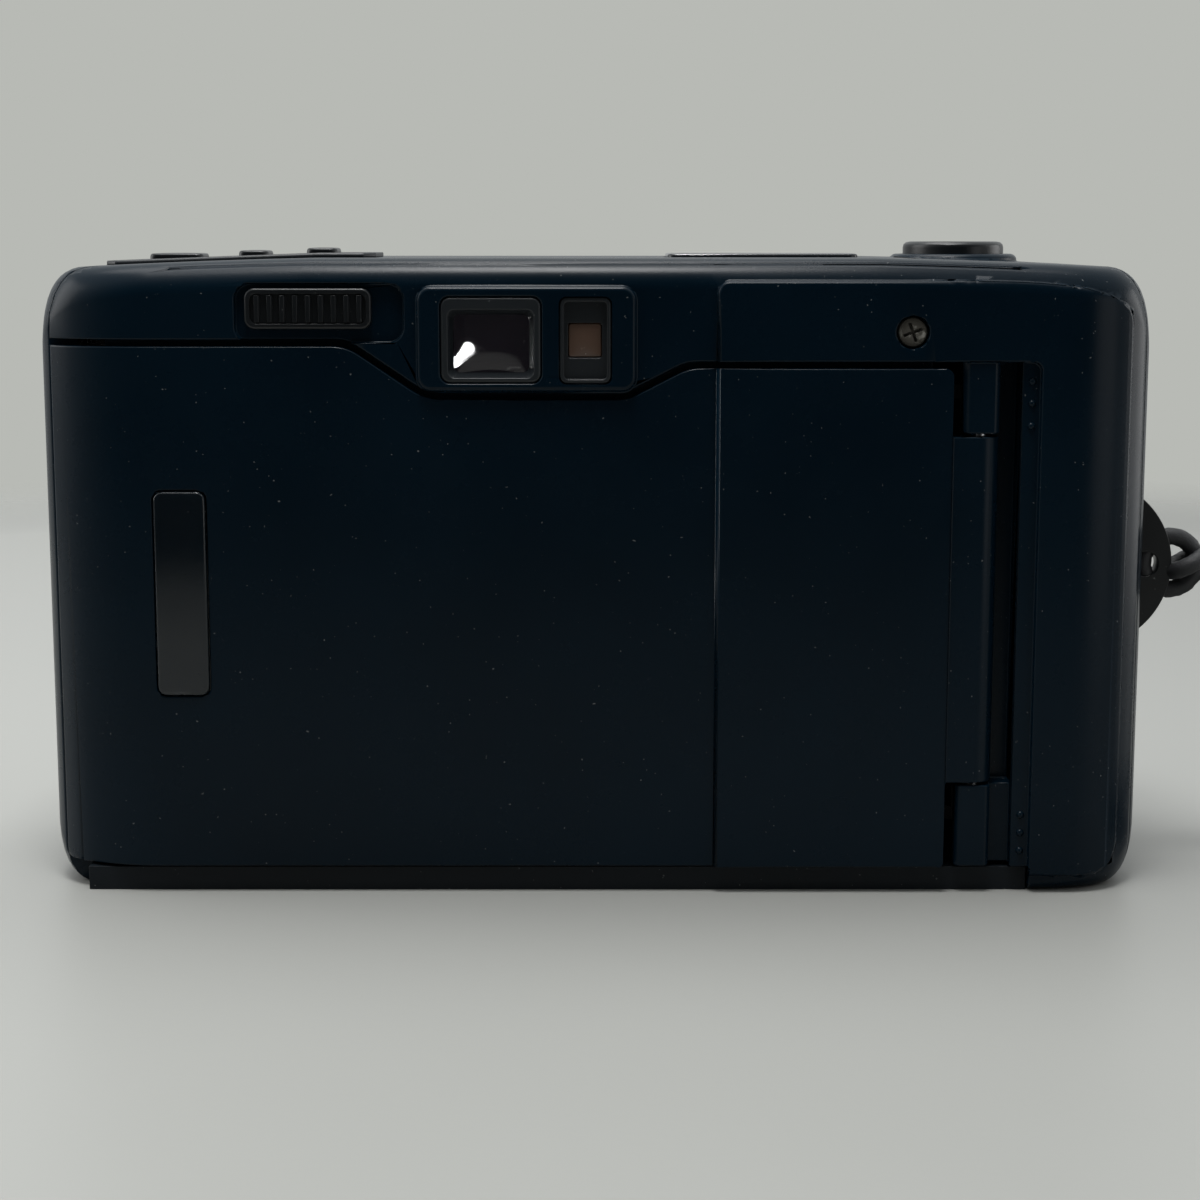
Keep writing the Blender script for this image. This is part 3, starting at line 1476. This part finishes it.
@dataclass
class BackDoor:
    """The film door with its hinge barrel, studs and window.

    Attributes:
        hinge: The hinge line's X and Y.
        barrel_radius: The hinge barrel's radius.
        barrel: The barrel's lowest and highest Z.
    """

    panel: bpy.types.Object
    hinge: Point2 = (41.0, -15.9)
    barrel_radius: float = 2.05
    barrel: Point2 = (12.3, 49.8)
    window: tuple[float, float, float, float] = (-44.25, 32.9, 5.7, 22.2)
    lens_axis: Point2 = (-8.0, 31.5)

    def build(self) -> None:
        """Finish the door."""
        x, y = self.hinge
        r = self.barrel_radius
        low, high = self.barrel
        curve = arc((x, y), (r, r), -90.0, 180.0, 24)
        barrel = prism("door_barrel", curve + [(x - r, y - r + 0.02)], low, high, Axis.Z)
        strap = block("barrel_strap", (36.9, -17.94, low), (x, -16.1, high))
        join(self.panel, strap, barrel)
        for side in (-14.0, 14.0):
            for rise in (-10.0, 10.0):
                centre = (self.lens_axis[0] + side, self.lens_axis[1] + rise)
                stud = prism("stud", arc(centre, (1.2, 1.2), 0, 360, 20)[:-1], -16.1, -14.6, Axis.Y)
                join(self.panel, stud)
        bore = prism("barrel_bore", arc(self.hinge, (0.83, 0.83), 0, 360, 24)[:-1], 0.0, 70.0, Axis.Z)
        wx, wz, ww, wh = self.window
        hole = prism("window_hole", box_outline((wx, wz), (ww + 0.1, wh + 0.1), 1.0), -60.0, 0.0, Axis.Y)
        cut(self.panel, bore, hole)
        dressed_shell(self.panel, DOOR, "door", ["rear_door"], 0.2)


# --- Fittings on the rear face --------------------------------------------------------------------


def panel_with_edge(
    name: str, centre: Point2, size: Point2, radius: float, back: float, face: float, round_over: float,
    crown: float = 0.0
) -> bpy.types.Object:
    """Build a plate across Y whose face edge is rounded and whose face may be domed.

    Args:
        name: The object's name.
        centre: Its centre in X and Z.
        size: Its width and height.
        radius: Its corner radius.
        back: The Y of its back.
        face: The Y of its face, below back.
        round_over: Radius of the rounded edge.
        crown: How far the face's middle stands above its edge.

    Returns:
        The plate.
    """
    rings = [[(x, back, z) for x, z in divided(box_outline(centre, size, radius), 8)]]
    for step in range(6):
        turn = math.radians(90.0 * step / 5)
        inset = round_over * (1.0 - math.cos(turn))
        level = face + round_over * (1.0 - math.sin(turn))
        shape = box_outline(centre, (size[0] - 2 * inset, size[1] - 2 * inset), max(0.05, radius - inset))
        rings.append([(x, level, z) for x, z in divided(shape, 8)])
    for step in range(1, 13):
        share = 1.0 - step / 12.4
        width = (size[0] - 2 * round_over) * share
        height = (size[1] - 2 * round_over) * share
        shape = box_outline(centre, (width, height), max(0.03, (radius - round_over) * share))
        across, along = size[0] / 2 - round_over, size[1] / 2 - round_over
        ring = []
        for x, z in divided(shape, 8):
            u, v = (x - centre[0]) / across, (z - centre[1]) / along
            ring.append((x, face - crown * (1.0 - u * u) * (1.0 - v * v), z))
        rings.append(ring)
    return smooth(lofted(name, rings))


def divided(ring: Sequence[Point2], parts: int) -> list[Point2]:
    """Cut the four straight sides of a rounded rectangle into equal parts."""
    corner = len(ring) // 4
    made: list[Point2] = []
    for index, (x, z) in enumerate(ring):
        made.append((x, z))
        if index % corner == corner - 1:
            ahead_x, ahead_z = ring[(index + 1) % len(ring)]
            made += [(x + (ahead_x - x) * part / parts, z + (ahead_z - z) * part / parts)
                     for part in range(1, parts)]
    return made


@dataclass
class FinderRear:
    """Eyepiece and lamp window in the finder housing.

    Attributes:
        eye: The eyepiece frame's centre and size.
        glass: The eyepiece glass's centre and size.
        bezel: The lamp window's centre and size.
        lamp: The lamp's centre and size.
        face: The Y of the frames' faces.
    """

    eye: tuple[float, float, float, float] = (-10.9, 60.0, 10.6, 9.0)
    glass: tuple[float, float, float, float] = (-10.9, 59.6, 9.1, 7.2)
    bezel: tuple[float, float, float, float] = (-0.95, 59.95, 5.5, 9.1)
    lamp: tuple[float, float, float, float] = (-1.0, 59.95, 3.6, 3.7)
    face: float = -18.15

    def build(self) -> bpy.types.Object:
        """Make the frames, glass and lamp, and return the eyepiece glass."""
        x, z, w, h = self.eye
        frame = panel_with_edge("eyepiece_rim", (x, z), (w, h), 1.0, -15.2, self.face, 0.35)
        gx, gz, gw, gh = self.glass
        cut(frame, self.funnel("eyepiece_funnel", (gx, gz), (gw, gh), 0.55))
        soften(frame, 0.1)
        dressed(frame, TRIM, "body", ["eyepiece_frame"])
        lens = panel_with_edge(
            "eyepiece_glass_lens", (gx, gz), (gw - 0.5, gh - 0.5), 0.5, -16.2, -16.8, 0.15, 0.55)
        dressed(lens, EYE, "body", ["eyepiece_lens"])
        bx, bz, bw, bh = self.bezel
        bezel = panel_with_edge("lamp_rim", (bx, bz), (bw, bh), 0.8, -15.6, self.face + 0.05, 0.3)
        recess = prism("lamp_recess", box_outline((bx, bz), (bw - 0.9, bh - 0.9), 0.5), -30.0, -17.35,
                       Axis.Y)
        lx, lz, lw, lh = self.lamp
        hole = prism("lamp_hole", box_outline((lx, lz), (lw, lh), 0.25), -30.0, 0.0, Axis.Y)
        cut(bezel, recess, hole)
        soften(bezel, 0.12)
        dressed(bezel, TRIM, "body", ["indicator_bezel"])
        pipe = panel_with_edge("lamp_lens", (lx, lz), (lw - 0.1, lh - 0.1), 0.3, -15.7, -17.1, 0.22, 0.12)
        dressed(pipe, AMBER, "body", ["lamp_pipe"])
        return lens

    def funnel(self, name: str, centre: Point2, size: Point2, slope: float) -> bpy.types.Object:
        """Build the tapering opening of the eyepiece frame.

        Args:
            name: The object's name.
            centre: The opening's centre.
            size: Its size at the face.
            slope: How far each side closes in by the glass.

        Returns:
            The tool that cuts it.
        """
        rings = []
        for level, inset in ((-30.0, 0.0), (self.face - 0.01, 0.0), (-16.9, slope), (-10.0, slope)):
            shape = box_outline(centre, (size[0] - 2 * inset, size[1] - 2 * inset), 0.7)
            rings.append([(x, level, z) for x, z in shape])
        return lofted(name, rings)


@dataclass
class Switch:
    """The sliding knob that sets the picture format.

    Attributes:
        centre: The knob's centre in X and Z.
        size: Its width and height.
        ribs: How many grip ribs it has.
        face: The Y of the ribs' tops.
    """

    centre: Point2 = (-30.15, 63.25)
    size: Point2 = (13.4, 4.3)
    ribs: int = 9
    face: float = -17.55

    def build(self) -> None:
        """Make the knob."""
        x, z = self.centre
        w, h = self.size
        knob = panel_with_edge("format_knob", self.centre, self.size, 1.1, -16.65, self.face, 0.3)
        dish = prism("knob_dish", box_outline(self.centre, (w - 1.1, h - 1.1), 0.8), -30.0,
                     self.face + 0.45, Axis.Y)
        cut(knob, dish)
        pitch = (w - 2.6) / (self.ribs - 1)
        for index in range(self.ribs):
            rx = x - (w - 2.6) / 2 + pitch * index
            rib = self.rib(f"rib_{index}", rx, z, h - 1.5)
            join(knob, rib)
        join(knob, block("knob_stem", (x - 1.0, -16.7, z - 1.0), (x + 1.0, -15.3, z + 1.0)))
        soften(knob, 0.1)
        dressed(knob, KEY, "switch", ["panorama_knob"])

    def rib(self, name: str, x: float, z: float, height: float) -> bpy.types.Object:
        """Build one rounded grip rib."""
        half = [(0.32, 0.6), (0.32, 0.15), (0.2, 0.0)]
        left = [(x - across, self.face + down) for across, down in half]
        right = [(x + across, self.face + down) for across, down in reversed(half)]
        outline = left + right
        return prism(name, outline, z - height / 2, z + height / 2, Axis.Z)


@dataclass
class RearFittings:
    """Film window, cover screw and hinge pin.

    Attributes:
        window: The film window's centre and size.
        screw: The screw's centre in X and Z.
    """

    window: tuple[float, float, float, float] = (-44.25, 32.9, 5.7, 22.2)
    screw: Point2 = (33.5, 60.8)

    def build(self) -> None:
        """Make the fittings."""
        x, z, w, h = self.window
        pane = panel_with_edge("film_window_pane", (x, z), (w - 0.15, h - 0.15), 0.95, -16.1, -17.62, 0.32)
        lip = prism("pane_lip", box_outline((x, z), (w + 2.4, h + 2.4), 1.4), -15.85, -15.35, Axis.Y)
        join(pane, lip)
        dressed(pane, WINDOW, "door", ["film_window"])
        sx, sz = self.screw
        profile = [(0.0, -14.0), (0.9, -14.0), (0.9, -16.9), (1.55, -16.95), (1.6, -17.2), (1.45, -17.45),
                   (0.9, -17.6), (0.0, -17.65)]
        head = lathe("cover_screw", profile, self.screw, Axis.Y, 40)
        slots = []
        for angle in (20.0, 110.0):
            c, s = math.cos(math.radians(angle)), math.sin(math.radians(angle))
            corners = [(1.05, 0.17), (-1.05, 0.17), (-1.05, -0.17), (1.05, -0.17)]
            shape = [(sx + u * c - v * s, sz + u * s + v * c) for u, v in corners]
            slots.append(prism("slot", shape, -30.0, -17.0, Axis.Y))
        cut(head, *slots)
        soften(head, 0.06)
        dressed(head, GRUBBY_STEEL, "body", ["rear_screw"])


# --- Deck -------------------------------------------------------------------------------------------


@dataclass
class Deck:
    """Control pad with its buttons, display window and shutter button.

    Attributes:
        keys: Each button's body, X, width and CAD node.
        pad: The pad's lowest and highest X and Y.
        height: The body's height.
    """

    keys: tuple[tuple[str, float, float, str], ...] = (
        ("mode_key", -46.15, 5.9, "mode_button"),
        ("timer_key", -37.65, 3.3, "timer_button"),
        ("rewind_key", -30.1, 3.4, "rewind_button"),
    )
    pad: tuple[float, float, float, float] = (-53.4, -23.9, -8.0, 4.0)
    pad_thick: float = 0.5
    key_y: float = -2.0
    key_depth: float = 5.0
    height: float = 68.5
    shutter: Point2 = (41.0, 6.0)
    window: Point2 = (18.45, 0.0)

    def deck_at(self, x: float) -> float:
        """Return the deck's Z at a place along X, as the CAD model has it."""
        return self.height - 0.9 * max(0.0, (abs(x) - 30.0) / 24.5)

    def build(self) -> None:
        """Make the pieces."""
        self.control_pad()
        for body, x, width, node in self.keys:
            self.key(body, x, width, node)
        self.shutter_button()
        self.shutter_spring()
        self.deck_window()

    def control_pad(self) -> None:
        """Make the pad, which follows the deck's fall."""
        left, right, rear, front = self.pad
        rings = []
        steps = 24
        for step in range(steps + 1):
            x = left + (right - left) * step / steps
            inset = min(x - left, right - x)
            pull = 1.6 * (1.0 - math.sqrt(max(0.0, 1.0 - max(0.0, 1.0 - inset / 1.6) ** 2)))
            low, high = self.deck_at(x) + 0.01, self.deck_at(x) + self.pad_thick
            rings.append([(x, y, z) for y, z in rounded_outline(
                [(rear + pull, low, 0.0), (front - pull, low, 0.0), (front - pull, high, 0.3),
                 (rear + pull, high, 0.3)], 3)])
        pad = lofted("control_pad_sheet", rings)
        holes = [prism("key_room", box_outline((x, self.key_y), (w + 0.3, self.key_depth + 0.3), 0.8), 60.0,
                       80.0, Axis.Z) for _, x, w, _ in self.keys]
        cut(pad, *holes)
        soften(pad, 0.08)
        dressed(pad, TRIM, "body", ["control_pad"])

    def key(self, body: str, x: float, width: float, node: str) -> None:
        """Make one button with a crowned top and a flange below the deck."""
        deck = self.deck_at(x)
        top = deck + self.pad_thick + 0.5
        rings = []
        flange = [(deck - 2.25, 1.3), (deck - 1.65, 1.3), (deck - 1.64, 0.0), (top - 0.35, 0.0)]
        for level, grow in flange + [(top - 0.12, -0.12), (top - 0.02, -0.35)]:
            shape = box_outline((x, self.key_y), (width + grow, self.key_depth + grow), 0.75)
            rings.append([(px, py, level) for px, py in shape])
        for step in range(1, 7):
            share = 1.0 - step / 6.5
            shape = box_outline((x, self.key_y), ((width - 0.35) * share, (self.key_depth - 0.35) * share),
                                0.6 * share)
            rings.append([(px, py, top + 0.06 * (1 - share * share)) for px, py in shape])
        made = lofted(f"{body}_cap", rings)
        soften(made, 0.06)
        dressed(made, KEY, body, [node])

    def shutter_button(self) -> None:
        """Make the shutter button with a dished top."""
        low = self.deck_at(self.shutter[0]) - 1.5 - 0.35
        profile = [(0.0, low - 3.0), (1.2, low - 3.0), (1.2, low - 0.8), (6.5, low - 0.8), (6.5, low),
                   (5.7, low), (5.7, 69.5), (5.62, 69.85), (5.35, 70.1), (4.9, 70.19), (4.2, 70.15),
                   (3.2, 70.02), (1.6, 69.9), (0.0, 69.86)]
        button = lathe("shutter_button_cap", profile, self.shutter, Axis.Z, 96)
        soften(button, 0.05)
        dressed(button, KEY, "shutter_key", ["shutter_button"])

    def shutter_spring(self) -> None:
        """Wind the shutter button's return spring."""
        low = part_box("shutter_spring")[0].z / MM + 0.18
        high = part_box("shutter_spring")[1].z / MM - 1.0
        turns, steps = 4.5, 26
        rings = []
        count = int(turns * steps)
        x0, y0 = self.shutter
        for step in range(count + 1):
            turn = 2 * math.pi * step / steps
            z = low + (high - low) * step / count
            ring = []
            for side in range(8):
                around = 2 * math.pi * side / 8
                reach = 2.2 + 0.17 * math.cos(around)
                ring.append((x0 + reach * math.cos(turn), y0 + reach * math.sin(turn),
                             z + 0.17 * math.sin(around)))
            rings.append(ring)
        spring = smooth(lofted("shutter_spring_coil", rings))
        dressed(spring, STEEL, "body", ["shutter_spring"])

    def deck_window(self) -> None:
        """Make the display's window, which stands a little above the deck."""
        x, y = self.window
        rings = []
        for level, w, d, r in ((66.35, 23.0, 14.0, 1.0), (66.95, 23.0, 14.0, 1.0), (66.96, 20.9, 11.8, 1.0),
                               (68.7, 20.9, 11.8, 1.0), (68.84, 20.7, 11.6, 0.9), (68.9, 20.3, 11.2, 0.8)):
            rings.append([(px, py, level) for px, py in box_outline((x, y), (w, d), r)])
        pane = lofted("display_window", rings)
        soften(pane, 0.05)
        dressed(pane, WINDOW, "body", ["deck_window"])


# --- Everything that keeps its CAD mesh ---------------------------------------------------------------


DISPLAY = MouldedPlastic("display_glass", "clear_window", (0.16, 0.19, 0.15), 0.25, 0.5, 0.000003, 3000.0)
KEPT_NODES: dict[Finish, tuple[str, ...]] = {
    BASE: ("base_cover", "battery_cover"),
    STEEL: ("hinge_pin", "plate_spring", "spool_motor", "tripod_bush", "case_screws"),
    KEY: ("door_latch",),
    MATT_BLACK: ("pressure_plate", "mask_upper", "mask_lower", "finder_tunnel"),
    FOAM: ("light_seal",),
    CHASSIS: ("film_frame", "take_up_spool", "sprocket", "rewind_fork"),
    LENS: ("finder_objective", "front_lens", "rear_lens"),
    DISPLAY: ("display_panel",),
    BOARD: ("main_board",),
    BRASS: ("motor_pinion", "battery_contacts"),
    GEAR: ("reduction_gear",),
    TRIM: ("lens_ring", "lens_barrel", "barrier_upper", "barrier_lower"),
    BLADE: ("shutter_blade_left", "shutter_blade_right"),
    CLEAR: ("finder_glass", "flash_window"),
    WINDOW: ("focus_window",),
    MIRROR: ("flash_reflector",),
    TUBE: ("flash_tube",),
    CAPACITOR: ("flash_capacitor",),
    CELL: ("battery",),
    LUG: ("strap_lug",),
}


def dress_kept_nodes(frame: dict[str, Any]) -> None:
    """Give every CAD node that is still shown its finish."""
    for finish, nodes in KEPT_NODES.items():
        for node in nodes:
            if not frame["nodes"][node].hide_render:
                dress_node(frame, node, finish)


# --- The whole camera ---------------------------------------------------------------------------


def corners(box: tuple[Vector, Vector]) -> list[list[float]]:
    """Return a box's two corners as plain lists."""
    return [list(map(float, corner)) for corner in box]


def main() -> None:
    """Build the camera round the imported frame."""
    logging.basicConfig(level=logging.INFO, format="%(name)s: %(message)s")
    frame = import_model()
    studio = Studio()
    studio.build()
    WristStrap().build()
    shells = Shells(Envelope())
    shells.build()
    BackDoor(shells.parts["door"]).build()
    studio.catch_light(FinderRear().build())
    Switch().build()
    RearFittings().build()
    Deck().build()
    dress_kept_nodes(frame)


if __name__ == "__main__":
    main()
